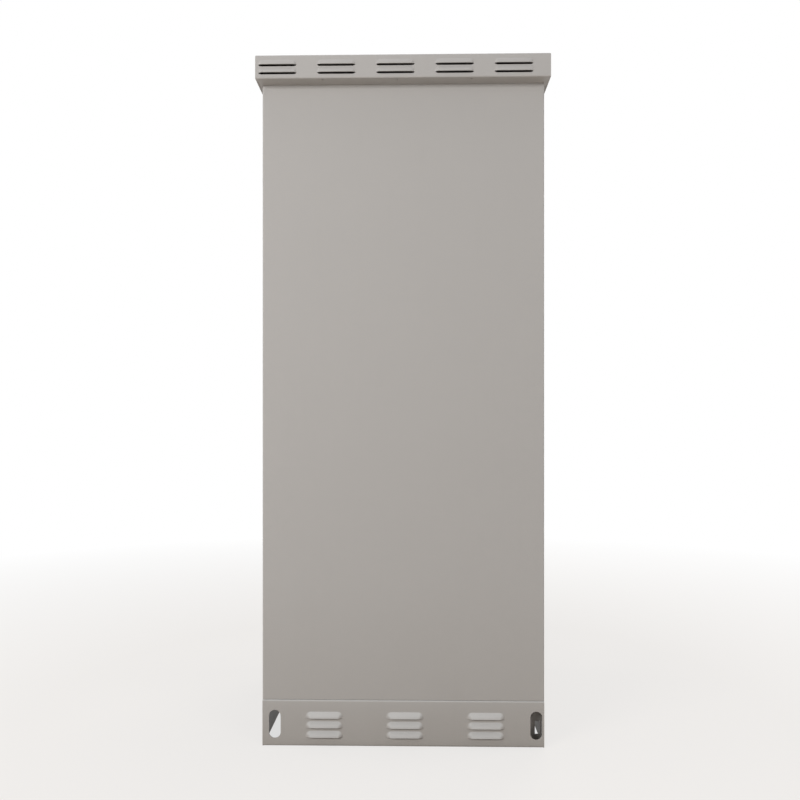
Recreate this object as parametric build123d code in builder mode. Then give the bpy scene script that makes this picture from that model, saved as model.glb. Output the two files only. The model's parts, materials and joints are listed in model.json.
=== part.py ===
from build123d import *
import os
from math import atan2, cos, degrees, radians, sin

os.makedirs("parts", exist_ok=True)

# Roadside utility cabinet. Millimetres, +Z up, origin on the ground at the centre of the plan.
# The plain rear wall faces -Y, the door faces +Y and hangs on its +X side.

# Overall sizes
body_width = 600.0
body_depth = 600.0
body_height = 1310.0
plinth_height = 100.0
roof_height = 49.0
roof_eave = 40.0
roof_side_eave = 8.0
roof_flange = 18.0

# Sheet thicknesses and bends
shell_sheet = 1.5
roof_sheet = 1.5
plate_sheet = 2.0
plinth_sheet = 2.0
door_sheet = 2.0
bracket_sheet = 2.0
bend = 3.0
slip = 0.3

# Door and its frame
door_depth = 32.0
frame_gap = 4.0
door_clear = 6.0
frame_return = 32.0
frame_rail = 50.0
frame_ledge = 25.0
door_lip = 15.0
gasket_width = 11.0
gasket_inset = 2.0

# Pressed louvres of the roof skirt
roof_hood_length = 80.0
roof_hood_height = 10.0
roof_hood_depth = 3.5
roof_hood_groups = 5
roof_hood_rows = 2
roof_hood_step = 16.6
roof_hood_low = 12.2
roof_hood_shift = -15.0

# Pressed louvres and slots of the plinth
plinth_hood_length = 80.0
plinth_hood_height = 12.7
plinth_hood_depth = 6.5
plinth_hood_groups = 3
plinth_hood_margin = 42.0
plinth_hood_rows = 3
plinth_hood_step = 20.3
plinth_hood_low = 20.3
plinth_hood_shift = 4.0
slot_width = 25.0
slot_height = 60.0
slot_centre = 47.0
slot_left_inset = 26.5
slot_right_inset = 17.0

# Plinth flanges, anchors and gussets
plinth_foot = 40.0
plinth_ledge = 25.0
anchor_radius = 7.0
anchor_side = 100.0
anchor_inset = 20.0
gusset_setback = 30.0
gusset_reach = 60.0
gusset_height = 88.0
notch_width = 14.0
notch_height = 29.0
notch_centre = 33.0

plinth_side_ledge = 30.0
floor_bolt_side = 16.0
floor_bolt_end = 100.0
floor_bolt_neck = 10.0
floor_bolt_cup = 3.5
floor_bolt_cup_radius = 9.0
floor_bolt_nut = 6.4
floor_bolt_hex = 8.0
cup_taper = 40.0

# Drain holes in the roof's return flange at the rear
drain_radius = 2.5
drain_pitch = 156.0
drain_centre = -12.0
drain_count = 3
drain_inset = 9.0

# Roof supports
hat_side = 85.0
hat_foot = 18.0
hat_crown = 30.0
hat_end = 40.0

# Hinges
hinge_count = 3
hinge_end = 150.0
knuckle_radius = 6.0
knuckle_height = 30.0
hinge_pin_radius = 4.0
running_gap = 0.06
leaf_sheet = 2.0
leaf_width = 34.0

# Rod lock
lock_side = 60.0
lock_rise = 740.0
spindle_radius = 6.0
rod_travel = 18.0
rod_width = 20.0
rod_sheet = 4.0
rod_spread = 11.0
rod_pin_radius = 3.0
yoke_gap = 0.6
rod_tip_gap = 5.0
stiffener_width = 36.0
stiffener_lip = 12.0
stiffener_sheet = 1.5
stiffener_margin = 56.0
cam_sheet = 4.0
guide_wall = 4.0
guide_height = 24.0

rod_end = 13.0
rod_chamfer = 3.0
cam_gap = 0.5
cam_rim = 1.5
cam_width = 18.0
cam_square = 4.0
lock_crown_gap = 2.0
hinge_crown_depth = 18.0
guide_offset = 70.0
guide_tip = 60.0

# Handle
base_bolt_radius = 2.5
lever_pin_rise = 5.8
cheek_length = 16.0
cheek_rise = 12.0
base_width = 34.0
base_length = 190.0
base_sheet = 4.0
head_radius = 15.0
head_sheet = 4.0
cheek_sheet = 5.0
cheek_gap = 14.4
lever_length = 150.0
lever_width = 22.0
lever_thick = 12.0
lever_pin_radius = 2.5
cylinder_radius = 8.0
cylinder_reach = 112.0
cylinder_length = 14.0
keyway_length = 9.0
keyway_width = 2.0
keyway_depth = 4.0
lever_rise = 4.0
lever_heel = 1.0
lever_neck = 18.0
lever_nose = 10.0

# Rack inside
upright_side = 75.0
upright_depth = 30.0
upright_end = 100.0
upright_gap = 30.0
rack_hole = 9.5
rack_hole_inset = 7.5
rack_unit = 44.45
rail_height = 40.0
rail_depth = 15.0
rail_rise = 50.0
rail_drop = 80.0
shelf_rise = 600.0
shelf_rim = 25.0
shelf_ear = 16.0
rail_setback = 20.0
rack_holes = 9
rack_hole_units = 3
earth_length = 300.0
earth_height = 25.0
earth_sheet = 5.0
earth_post = 25.0
earth_post_radius = 9.0
earth_inset = 20.0
earth_rise = 45.0
earth_screw_radius = 5.0
earth_screws = 5
earth_screw_pitch = 40.0
pocket_x = 10.0
pocket_rise = 520.0
pocket_width = 240.0
pocket_height = 200.0
pocket_depth = 26.0
pocket_wall = 2.5

# Air path
fan_size = 120.0
fan_depth = 38.0
fan_opening = 112.0
fan_bore = 57.0
fan_spacing = 240.0
fan_hub = 24.0
fan_tip_gap = 2.0
fan_blades = 5
fan_arm = 6.0
fan_shaft = 4.0
fan_shaft_rise = 14.0
blade_chord = 26.0
blade_sheet = 2.0
blade_pitch = 38.0
filter_size = 220.0
filter_opening = 200.0
filter_sheet = 15.0
filter_y = 110.0
gland_opening_x = 300.0
gland_opening_y = 110.0
gland_y = -140.0
gland_count = 2
gland_pitch = 120.0
gland_thread = 12.5
gland_hex = 16.0
gland_nut = 8.0
gland_dome = 14.0
gland_taper = 16.0
gland_tail = 7.0
cover_rim = 12.0
filter_slots = 8
filter_slot = 9.0
filter_slot_pitch = 22.0

# Levels and faces worked out from the sizes above
half_width = body_width / 2
half_depth = body_depth / 2
shell_top = plinth_height + body_height
frame_face = half_depth - door_depth - frame_gap
frame_back = frame_face - shell_sheet
wall_inside = half_width - shell_sheet
roof_bottom = shell_top - roof_sheet
roof_top = roof_bottom + roof_height
roof_half_x = half_width + roof_side_eave
roof_half_y = half_depth + roof_eave
plate_top = shell_top + plate_sheet
floor_top = plinth_height + plate_sheet
opening_half = half_width - frame_return
opening_low = plinth_height + frame_rail
opening_high = shell_top - frame_rail
door_low = plinth_height + door_clear
door_high = shell_top - door_clear
door_back = half_depth - door_depth
skin_inside = half_depth - door_sheet
corner_clear = bend + slip
floor_bolt_hole = floor_bolt_neck + 2 * running_gap
roof_hood_pitch = 2 * roof_half_x / roof_hood_groups
plinth_hood_pitch = 2 * (half_width - plinth_hood_margin) / plinth_hood_groups
anchor_x = half_width - anchor_side
floor_bolt_x = half_width - floor_bolt_side
floor_bolt_y = half_depth - floor_bolt_end
hat_x = half_width - hat_side
hat_length = 2 * (half_depth - hat_end)
lock_x = lock_side - half_width
lock_z = plinth_height + lock_rise
lock_stiffener_crown = frame_face - lock_crown_gap
hinge_stiffener_crown = skin_inside - hinge_crown_depth
rack_opening = 2 * (half_width - upright_side)
upright_setback = half_depth - upright_end
upright_low = plinth_height + upright_gap
upright_high = shell_top - upright_gap
rail_low = plinth_height + rail_rise
rail_high = shell_top - rail_drop
shelf_z = plinth_height + shelf_rise
earth_z = plinth_height + earth_rise
pocket_z = plinth_height + pocket_rise
base_top = lock_z + base_width / 2
base_low = base_top - base_length
base_bolt_z = (lock_z - base_width * 0.8, base_low + base_width / 2)


def finish(piece, name):
    """Labels a finished piece and writes its file."""
    piece.part.label = name
    export_step(piece.part, f"parts/{name}.step")


def folded_section(plane, points, sheet, bend=bend):
    """Section of a folded sheet: its line of corners, thickened to the left with rounded bends."""
    inside = max(bend - sheet, 0.0)
    line = [Vector(*point) for point in points]
    runs = [(after - before).normalized() for before, after in zip(line, line[1:])]
    sides = [Vector(-run.Y, run.X) for run in runs]
    near_radii = [0.0]
    far_radii = [0.0]
    shifted = [line[0] + sides[0] * sheet]
    for corner, before, after, run in zip(line[1:], sides, sides[1:], runs):
        left_turn = after.dot(run) < 0
        near_radii.append(bend if left_turn else inside)
        far_radii.append(inside if left_turn else bend)
        shifted.append(corner + (before + after) * (sheet / (1 + before.dot(after))))
    near_radii.append(0.0)
    far_radii.append(0.0)
    shifted.append(line[-1] + sides[-1] * sheet)
    with BuildSketch(plane) as section:
        with BuildLine():
            FilletPolyline(*line, *reversed(shifted), radius=near_radii + far_radii[::-1], close=True)
        make_face()
    return section.sketch


def folded_strip(plane, points, sheet, length, bend=bend):
    """Folded strip: the section carried along its plane's normal."""
    with BuildPart() as strip:
        add(folded_section(plane, points, sheet, bend))
        extrude(amount=length, dir=plane.z_dir)
    return strip.part


def hat_line(centre, crown, foot, low, high):
    """Corners of a hat section, on its hollow side: feet at one level and crown at the other."""
    return [
        (centre - crown / 2 - foot, low),
        (centre - crown / 2, low),
        (centre - crown / 2, high),
        (centre + crown / 2, high),
        (centre + crown / 2, low),
        (centre + crown / 2 + foot, low),
    ]


def neck_bolt(low, high, neck, head, head_radius, nut, nut_radius):
    """Bolt along Z: a cup head under the lower face, a square neck, and a nut on the upper face."""
    with BuildPart() as bolt:
        with BuildSketch(Plane.XY.offset(low)):
            Rectangle(neck, neck)
        extrude(amount=high - low)
        with BuildSketch(Plane.XY.offset(low)):
            Circle(head_radius)
        extrude(amount=-head, taper=cup_taper)
        with BuildSketch(Plane.XY.offset(high)):
            RegularPolygon(nut_radius, 6, major_radius=False)
        extrude(amount=nut)
    return bolt.part


def folded_block(size_x, size_y, low, high, radius):
    """Block with its four top edges rounded, as the bends of a folded cap are."""
    with BuildPart() as block:
        with BuildSketch(Plane.XY.offset(low)):
            Rectangle(size_x, size_y)
        extrude(amount=high - low)
        fillet(block.faces().sort_by(Axis.Z)[-1].edges(), radius)
    return block.part


def louvre_outer(length, height, depth):
    """Pressed hood on its sheet: its ends and top slope, and its mouth is cut straight."""
    with BuildPart() as form:
        with BuildSketch():
            Rectangle(length, 2 * height)
        extrude(amount=depth, taper=45)
        with BuildSketch():
            Rectangle(length, height, align=(Align.CENTER, Align.MAX))
        extrude(amount=depth, mode=Mode.SUBTRACT)
    return form.part


def louvre_inner(length, height, depth, sheet):
    """Hollow of the hood, drawn through the sheet and open just past the mouth."""
    with BuildPart() as hollow:
        with BuildSketch(Plane.XY.offset(-sheet)):
            Rectangle(length - 2 * sheet, 2 * (height - sheet))
        extrude(amount=depth, taper=degrees(atan2(depth - sheet, depth)))
        with BuildSketch(Plane.XY.offset(-sheet)):
            with Locations((0, -slip)):
                Rectangle(length, height, align=(Align.CENTER, Align.MAX))
        extrude(amount=depth, mode=Mode.SUBTRACT)
    return hollow.part


def grid_spots(face, groups, pitch, rows, step, shift, low):
    """Places of the louvres on a face: the face's own X runs along it and its Y runs up."""
    start = shift - (groups - 1) * pitch / 2
    return [
        face.location * Location((start + group * pitch, low + row * step, 0))
        for group in range(groups)
        for row in range(rows)
    ]


def outer_face(direction, distance, level):
    """Plane of an upright face, seen from outside, with its local X to the viewer's right."""
    x_axis = {"front": (-1, 0, 0), "rear": (1, 0, 0), "right": (0, 1, 0), "left": (0, -1, 0)}
    normal = {"front": (0, 1, 0), "rear": (0, -1, 0), "right": (1, 0, 0), "left": (-1, 0, 0)}
    out = Vector(*normal[direction])
    return Plane(origin=out * distance + Vector(0, 0, level), x_dir=x_axis[direction], z_dir=out)


# Body shell: one sheet folded round the rear wall, both sides and the two door frame returns
with BuildPart() as body_shell:
    with BuildSketch(Plane.XY.offset(plinth_height)):
        with Locations((0, (frame_face - half_depth) / 2)):
            RectangleRounded(body_width, frame_face + half_depth, bend)
            RectangleRounded(
                body_width - 2 * shell_sheet,
                frame_face + half_depth - 2 * shell_sheet,
                bend - shell_sheet,
                mode=Mode.SUBTRACT,
            )
        with Locations((0, frame_face)):
            Rectangle(2 * opening_half, 4 * shell_sheet, mode=Mode.SUBTRACT)
    extrude(amount=body_height)
finish(body_shell, "body_shell")

# Door frame head and sill: folded strips between the two returns
frame_ends = Plane.YZ.offset(-opening_half)
ledge_back = frame_face - frame_ledge
header_line = [(frame_face, opening_high), (frame_face, shell_top), (ledge_back, shell_top)]
with BuildPart() as door_header:
    add(folded_strip(frame_ends, header_line, shell_sheet, 2 * opening_half))
finish(door_header, "door_header")

sill_line = [(ledge_back, plinth_height), (frame_face, plinth_height), (frame_face, opening_low)]
with BuildPart() as door_sill:
    add(folded_strip(frame_ends, sill_line, shell_sheet, 2 * opening_half))
finish(door_sill, "door_sill")

# Roof cap: folded box with louvred skirts and a return flange under its front and rear edges
roof_hood = (roof_hood_length, roof_hood_height, roof_hood_depth)
roof_spots = [
    spot
    for side in ("front", "rear")
    for spot in grid_spots(
        outer_face(side, roof_half_y, roof_bottom),
        roof_hood_groups,
        roof_hood_pitch,
        roof_hood_rows,
        roof_hood_step,
        roof_hood_shift,
        roof_hood_low,
    )
]
with BuildPart() as roof_cap:
    add(folded_block(2 * roof_half_x, 2 * roof_half_y, roof_bottom, roof_top, bend))
    add(
        folded_block(
            2 * (roof_half_x - roof_sheet),
            2 * (roof_half_y - roof_sheet),
            roof_bottom + roof_sheet,
            roof_top - roof_sheet,
            bend - roof_sheet,
        ),
        mode=Mode.SUBTRACT,
    )
    with BuildSketch(Plane.XY.offset(roof_bottom)):
        Rectangle(2 * (roof_half_x - roof_sheet), 2 * (roof_half_y - roof_flange))
        with Locations((drain_centre, drain_inset - roof_half_y)):
            with GridLocations(drain_pitch, 1, drain_count, 1):
                Circle(drain_radius)
    extrude(amount=roof_sheet, mode=Mode.SUBTRACT)
    with Locations(*roof_spots):
        add(louvre_outer(*roof_hood))
    with Locations(*roof_spots):
        add(louvre_inner(*roof_hood, roof_sheet), mode=Mode.SUBTRACT)
finish(roof_cap, "roof_cap")

# Top plate: closes the shell, carries the fans and reaches out under the roof as the eave
fan_spots = [(side * fan_spacing / 2, 0) for side in (-1, 1)]
roof_inner_x = roof_half_x - roof_sheet - slip
roof_inner_y = roof_half_y - roof_sheet - slip
with BuildPart() as top_plate:
    with BuildSketch(Plane.XY.offset(shell_top)):
        Rectangle(2 * roof_inner_x, 2 * roof_inner_y)
        with Locations(*fan_spots):
            Rectangle(fan_opening, fan_opening, mode=Mode.SUBTRACT)
    extrude(amount=plate_sheet)
finish(top_plate, "top_plate")

# Hat channels welded between the top plate and the roof cap
for side, name in ((-1, "roof_hat_left"), (1, "roof_hat_right")):
    section = hat_line(side * hat_x, hat_crown, hat_foot, plate_top, roof_top - roof_sheet - shell_sheet)
    with BuildPart() as roof_hat:
        add(folded_strip(Plane.XZ.offset(-hat_length / 2), section, shell_sheet, hat_length, 0.0))
    finish(roof_hat, name)

# Plinth: front and rear channels over the full width, sides between them
plinth_hood = (plinth_hood_length, plinth_hood_height, plinth_hood_depth)

for side, name in ((1, "front"), (-1, "rear")):
    face = outer_face(name, half_depth, 0.0)
    spots = grid_spots(
        face,
        plinth_hood_groups,
        plinth_hood_pitch,
        plinth_hood_rows,
        plinth_hood_step,
        plinth_hood_shift,
        plinth_hood_low,
    )
    web = side * half_depth
    section = [
        (web - side * plinth_foot, 0.0),
        (web, 0.0),
        (web, plinth_height),
        (web - side * plinth_ledge, plinth_height),
    ]
    strip_line = section if side > 0 else section[::-1]
    with BuildPart() as plinth_panel:
        add(folded_strip(Plane.YZ.offset(-half_width), strip_line, plinth_sheet, body_width))
        with BuildSketch(Plane.XY):
            with Locations((0, side * (half_depth - plinth_sheet - plinth_foot))):
                with GridLocations(body_width - corner_clear, 1, 2, 1):
                    Rectangle(corner_clear, 2 * plinth_foot)
        extrude(amount=plinth_height, mode=Mode.SUBTRACT)
        with BuildSketch(face.offset(-plinth_sheet)):
            with Locations(
                (slot_left_inset - half_width, slot_centre),
                (half_width - slot_right_inset, slot_centre),
            ):
                SlotOverall(slot_height, slot_width, rotation=90)
        extrude(amount=plinth_sheet, mode=Mode.SUBTRACT)
        with BuildSketch(Plane.XY):
            with Locations((0, side * (half_depth - anchor_inset))):
                with GridLocations(2 * anchor_x, 1, 2, 1):
                    Circle(anchor_radius)
        extrude(amount=plinth_sheet, mode=Mode.SUBTRACT)
        with Locations(*spots):
            add(louvre_outer(*plinth_hood))
        with Locations(*spots):
            add(louvre_inner(*plinth_hood, plinth_sheet), mode=Mode.SUBTRACT)
    finish(plinth_panel, f"plinth_{name}")

plinth_side_half = half_depth - plinth_sheet
for side, name in ((1, "right"), (-1, "left")):
    web = side * half_width
    section = [(web, 0.0), (web, plinth_height), (web - side * plinth_side_ledge, plinth_height)]
    strip_line = section if side > 0 else section[::-1]
    with BuildPart() as plinth_panel:
        add(
            folded_strip(
                Plane.XZ.offset(-plinth_side_half), strip_line, plinth_sheet, 2 * plinth_side_half
            )
        )
        with BuildSketch(Plane.XY.offset(plinth_height - plinth_sheet)):
            with Locations((side * (half_width - bend - plinth_side_ledge / 2), 0)):
                with GridLocations(1, 2 * half_depth - plinth_ledge, 1, 2):
                    Rectangle(plinth_side_ledge, plinth_ledge + slip * 2)
            with Locations((side * floor_bolt_x, 0)):
                with GridLocations(1, 2 * floor_bolt_y, 1, 2):
                    Rectangle(floor_bolt_hole, floor_bolt_hole)
        extrude(amount=plinth_sheet, mode=Mode.SUBTRACT)
    finish(plinth_panel, f"plinth_{name}")

# Corner gussets behind the slots nearest a corner, with a notch against the side wall
gusset_low = (plinth_height - gusset_height) / 2
for turn, name in ((0, "plinth_gusset_rear"), (180, "plinth_gusset_front")):
    side = 1 if turn == 0 else -1
    wall = side * (half_width - plinth_sheet)
    plate_y = -side * (half_depth - gusset_setback)
    section = [(wall - side * gusset_reach, plate_y), (wall, plate_y), (wall, plate_y + side * gusset_reach)]
    with BuildPart() as gusset:
        add(folded_strip(Plane.XY.offset(gusset_low), section, bracket_sheet, gusset_height, 0.0))
        with BuildSketch(Plane.XZ.offset(-plate_y - bracket_sheet * 2)):
            with Locations((wall, notch_centre)):
                Rectangle(2 * notch_width, notch_height)
        extrude(amount=4 * bracket_sheet, mode=Mode.SUBTRACT)
    finish(gusset, name)

# Floor of the shell, with the cable entry at the rear and the air intake at the front
floor_half_x = wall_inside
floor_rear = -(half_depth - shell_sheet)
floor_front = ledge_back
with BuildPart() as bottom_plate:
    with BuildSketch(Plane.XY.offset(plinth_height)):
        with Locations((0, (floor_front + floor_rear) / 2)):
            Rectangle(2 * floor_half_x, floor_front - floor_rear)
        with Locations((0, filter_y)):
            Rectangle(filter_opening, filter_opening, mode=Mode.SUBTRACT)
        with Locations((0, gland_y)):
            Rectangle(gland_opening_x, gland_opening_y, mode=Mode.SUBTRACT)
        with GridLocations(2 * floor_bolt_x, 2 * floor_bolt_y, 2, 2):
            Rectangle(floor_bolt_hole, floor_bolt_hole, mode=Mode.SUBTRACT)
    extrude(amount=plate_sheet)
    chamfer(bottom_plate.edges().filter_by(Axis.Z).group_by(Axis.Y)[0], bend)
finish(bottom_plate, "bottom_plate")

with BuildPart() as floor_bolts:
    with GridLocations(2 * floor_bolt_x, 2 * floor_bolt_y, 2, 2):
        add(
            neck_bolt(
                plinth_height - plinth_sheet,
                floor_top,
                floor_bolt_neck,
                floor_bolt_cup,
                floor_bolt_cup_radius,
                floor_bolt_nut,
                floor_bolt_hex,
            )
        )
finish(floor_bolts, "floor_bolts")

# Cable gland plate over its opening, and the blanked glands in it
gland_spots = [((index - (gland_count - 1) / 2) * gland_pitch, gland_y) for index in range(gland_count)]
with BuildPart() as gland_plate:
    with BuildSketch(Plane.XY.offset(floor_top)):
        with Locations((0, gland_y)):
            Rectangle(gland_opening_x + 2 * cover_rim, gland_opening_y + 2 * cover_rim)
        with Locations(*gland_spots):
            Circle(gland_thread + running_gap, mode=Mode.SUBTRACT)
    extrude(amount=plate_sheet)
finish(gland_plate, "gland_plate")

gland_top = floor_top + plate_sheet
gland_low = floor_top - gland_tail
with BuildPart() as cable_glands:
    with BuildSketch(Plane.XY.offset(gland_low)):
        with Locations(*gland_spots):
            RegularPolygon(gland_hex, 6, major_radius=False)
    extrude(amount=gland_tail)
    with BuildSketch(Plane.XY.offset(floor_top)):
        with Locations(*gland_spots):
            Circle(gland_thread)
    extrude(amount=plate_sheet)
    with BuildSketch(Plane.XY.offset(gland_top)):
        with Locations(*gland_spots):
            RegularPolygon(gland_hex, 6, major_radius=False)
    extrude(amount=gland_nut)
    with BuildSketch(Plane.XY.offset(gland_top + gland_nut)):
        with Locations(*gland_spots):
            RegularPolygon(gland_hex, 6, major_radius=False)
    extrude(amount=gland_dome, taper=gland_taper)
finish(cable_glands, "cable_glands")

# Air intake: filter mat on the floor opening, held down by a slotted cover
with BuildPart() as intake_filter:
    with BuildSketch(Plane.XY.offset(floor_top)):
        with Locations((0, filter_y)):
            Rectangle(filter_size, filter_size)
    extrude(amount=filter_sheet)
finish(intake_filter, "intake_filter")

cover_low = floor_top + filter_sheet
with BuildPart() as filter_cover:
    with BuildSketch(Plane.XY.offset(floor_top)):
        with Locations((0, filter_y)):
            Rectangle(filter_size + 2 * cover_rim, filter_size + 2 * cover_rim)
    extrude(amount=filter_sheet + shell_sheet)
    with BuildSketch(Plane.XY.offset(floor_top)):
        with Locations((0, filter_y)):
            Rectangle(filter_size + 2 * slip, filter_size + 2 * slip)
    extrude(amount=filter_sheet, mode=Mode.SUBTRACT)
    with BuildSketch(Plane.XY.offset(floor_top + shell_sheet)):
        with Locations((0, filter_y)):
            Rectangle(filter_size + 3 * cover_rim, filter_size + 3 * cover_rim)
            Rectangle(
                filter_size + 2 * slip + 2 * shell_sheet,
                filter_size + 2 * slip + 2 * shell_sheet,
                mode=Mode.SUBTRACT,
            )
    extrude(amount=filter_sheet + shell_sheet, mode=Mode.SUBTRACT)
    with BuildSketch(Plane.XY.offset(cover_low)):
        with Locations((0, filter_y)):
            with GridLocations(1, filter_slot_pitch, 1, filter_slots):
                Rectangle(filter_opening - 2 * cover_rim, filter_slot)
    extrude(amount=shell_sheet, mode=Mode.SUBTRACT)
finish(filter_cover, "filter_cover")

# Door: a folded pan with lips at its back, and the holes for the handle in its skin
lip_half = half_width - door_lip
with BuildPart() as door_panel:
    with BuildSketch(Plane.XY.offset(door_low)):
        with Locations((0, (door_back + half_depth) / 2)):
            Rectangle(body_width, door_depth)
    extrude(amount=door_high - door_low)
    front_edges = door_panel.faces().sort_by(Axis.Y)[-1].edges()
    fillet(front_edges, bend)
    with BuildSketch(Plane.XY.offset(door_low + door_sheet)):
        with Locations((0, (door_back + half_depth) / 2)):
            Rectangle(body_width - 2 * door_sheet, door_depth - 2 * door_sheet)
    extrude(amount=door_high - door_low - 2 * door_sheet, mode=Mode.SUBTRACT)
    with BuildSketch(Plane.XZ.offset(-door_back)):
        with Locations((0, (door_low + door_high) / 2)):
            Rectangle(2 * lip_half, door_high - door_low - 2 * door_lip)
    extrude(amount=-door_sheet, mode=Mode.SUBTRACT)
    with BuildSketch(Plane.XZ.offset(-half_depth)):
        with Locations((lock_x, lock_z)):
            Circle(spindle_radius + running_gap)
        with Locations(*[(lock_x, spot) for spot in base_bolt_z]):
            Circle(base_bolt_radius + running_gap)
    extrude(amount=door_sheet, mode=Mode.SUBTRACT)
finish(door_panel, "door_panel")

# Gasket round the back of the door, just clear of the frame when it is shut
with BuildPart() as door_gasket:
    with BuildSketch(Plane.XZ.offset(-door_back)):
        with Locations((0, (door_low + door_high) / 2)):
            Rectangle(body_width - 2 * gasket_inset, door_high - door_low - 2 * gasket_inset)
            Rectangle(
                body_width - 2 * gasket_inset - 2 * gasket_width,
                door_high - door_low - 2 * gasket_inset - 2 * gasket_width,
                mode=Mode.SUBTRACT,
            )
    extrude(amount=frame_gap - slip)
finish(door_gasket, "door_gasket")

# Hat stiffeners up the inside of the door: a deep one that carries the lock and a shallow one
stiffener_low = door_low + stiffener_margin
stiffener_high = door_high - stiffener_margin
stiffener_length = stiffener_high - stiffener_low
stiffener_list = (
    ("lock_stiffener", lock_x, lock_stiffener_crown),
    ("hinge_stiffener", -lock_x, hinge_stiffener_crown),
)
for name, centre, crown_y in stiffener_list:
    section = hat_line(centre, stiffener_width, stiffener_lip, skin_inside, crown_y + stiffener_sheet)
    with BuildPart() as stiffener:
        add(
            folded_strip(
                Plane.XY.offset(stiffener_low), section[::-1], stiffener_sheet, stiffener_length, 0.0
            )
        )
        if centre == lock_x:
            with BuildSketch(Plane.XZ.offset(-crown_y - stiffener_sheet)):
                with Locations((lock_x, lock_z)):
                    Circle(spindle_radius + running_gap)
            extrude(amount=stiffener_sheet, mode=Mode.SUBTRACT)
    finish(stiffener, name)

# Rods of the lock: each has a yoke at the cam and a plain tip that slides behind the frame
crank = rod_travel / (2 * sin(radians(45)))
pin_near = crank * cos(radians(45))
rod_front = lock_stiffener_crown - cam_gap - cam_sheet - cam_gap
rod_back = rod_front - rod_sheet
upper_tip = opening_high - rod_tip_gap
lower_tip = opening_low + rod_tip_gap
yoke_centre = (pin_near + crank) / 2
yoke_length = crank - pin_near + 2 * (rod_pin_radius + yoke_gap)
rod_list = (("upper_rod", -1, upper_tip), ("lower_rod", 1, lower_tip))
for name, side, tip in rod_list:
    way = 1 if tip > lock_z else -1
    pin_level = lock_z - way * rod_travel / 2
    root = pin_level - way * rod_end
    rod_x = lock_x + side * rod_spread
    with BuildPart() as rod:
        with BuildSketch(Plane.XZ.offset(-rod_front)) as outline:
            with Locations((rod_x, (root + tip) / 2)):
                Rectangle(rod_width, abs(tip - root))
            chamfer(outline.vertices(), rod_chamfer)
            with Locations((lock_x + side * yoke_centre, pin_level)):
                SlotOverall(yoke_length, 2 * (rod_pin_radius + yoke_gap), mode=Mode.SUBTRACT)
        extrude(amount=rod_sheet)
    finish(rod, name)

# Guides on the lock stiffener: saddles that hold the rods down on their way
guide_inner = 2 * rod_spread + rod_width + 2 * slip
guide_spots = [
    (lock_x, lock_z + guide_offset),
    (lock_x, lock_z - guide_offset),
    (lock_x, opening_high - guide_tip),
    (lock_x, opening_low + guide_tip),
]
with BuildPart() as rod_guides:
    with BuildSketch(Plane.XZ.offset(-lock_stiffener_crown)):
        with Locations(*guide_spots):
            Rectangle(guide_inner + 2 * guide_wall, guide_height)
    extrude(amount=lock_stiffener_crown - rod_back + slip + guide_wall)
    with BuildSketch(Plane.XZ.offset(-rod_front - slip)):
        with Locations(*guide_spots):
            Rectangle(guide_inner, guide_height)
    extrude(amount=rod_sheet + 2 * slip, mode=Mode.SUBTRACT)
finish(rod_guides, "rod_guides")

# Cam on the inner end of the spindle: an oblong plate with two pins in the rods' yokes
cam_front = lock_stiffener_crown - cam_gap
cam_back = cam_front - cam_sheet
cam_reach = crank + rod_pin_radius + cam_rim
with BuildPart() as lock_cam:
    with BuildSketch(Plane.XZ.offset(-cam_front)):
        with Locations((lock_x, lock_z)):
            Rectangle(2 * cam_reach, cam_width, rotation=45)
            RegularPolygon(cam_square, 4, rotation=45, mode=Mode.SUBTRACT)
    extrude(amount=cam_sheet)
    with BuildSketch(Plane.XZ.offset(-cam_back)):
        with Locations(
            (lock_x - pin_near, lock_z - pin_near),
            (lock_x + pin_near, lock_z + pin_near),
        ):
            Circle(rod_pin_radius)
    extrude(amount=cam_gap + rod_sheet + slip)
finish(lock_cam, "lock_cam")

# Spindle: outer head with two cheeks for the lever, shaft through the door, square inner end
base_front = half_depth + base_sheet
head_low = base_front + slip
head_high = head_low + head_sheet
lever_pin_y = head_high + lever_pin_rise
with BuildPart() as spindle:
    with BuildSketch(Plane.XZ.offset(-head_low)):
        with Locations((lock_x, lock_z)):
            Circle(head_radius)
    extrude(amount=-head_sheet)
    with BuildSketch(Plane.XZ.offset(-head_high)) as cheeks:
        with Locations((lock_x, lock_z)):
            with GridLocations(1, cheek_gap + cheek_sheet, 1, 2):
                Rectangle(cheek_length, cheek_sheet)
    extrude(amount=-cheek_rise)
    with BuildSketch(Plane.XZ.offset(-head_low)):
        with Locations((lock_x, lock_z)):
            Circle(spindle_radius)
    extrude(amount=head_low - cam_front)
    with BuildSketch(Plane.XZ.offset(-cam_front)):
        with Locations((lock_x, lock_z)):
            RegularPolygon(cam_square - running_gap, 4, rotation=45)
    extrude(amount=cam_sheet)
    with BuildSketch(Plane.XY.offset(lock_z - cheek_gap / 2 - cheek_sheet)):
        with Locations((lock_x, lever_pin_y)):
            Circle(lever_pin_radius)
    extrude(amount=cheek_gap + 2 * cheek_sheet, mode=Mode.SUBTRACT)
finish(spindle, "spindle")

with BuildPart() as lever_pin:
    with BuildSketch(Plane.XY.offset(lock_z - cheek_gap / 2 - cheek_sheet)):
        with Locations((lock_x, lever_pin_y)):
            Circle(lever_pin_radius)
    extrude(amount=cheek_gap + 2 * cheek_sheet)
finish(lever_pin, "lever_pin")

# Handle base on the door skin, and the two screws that hold it from behind
with BuildPart() as handle_base:
    with BuildSketch(Plane.XZ.offset(-half_depth)):
        with Locations((lock_x, (base_low + base_top) / 2)):
            SlotOverall(base_length, base_width, rotation=90)
        with Locations((lock_x, lock_z)):
            Circle(spindle_radius + running_gap, mode=Mode.SUBTRACT)
    extrude(amount=-base_sheet)
finish(handle_base, "handle_base")

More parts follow.
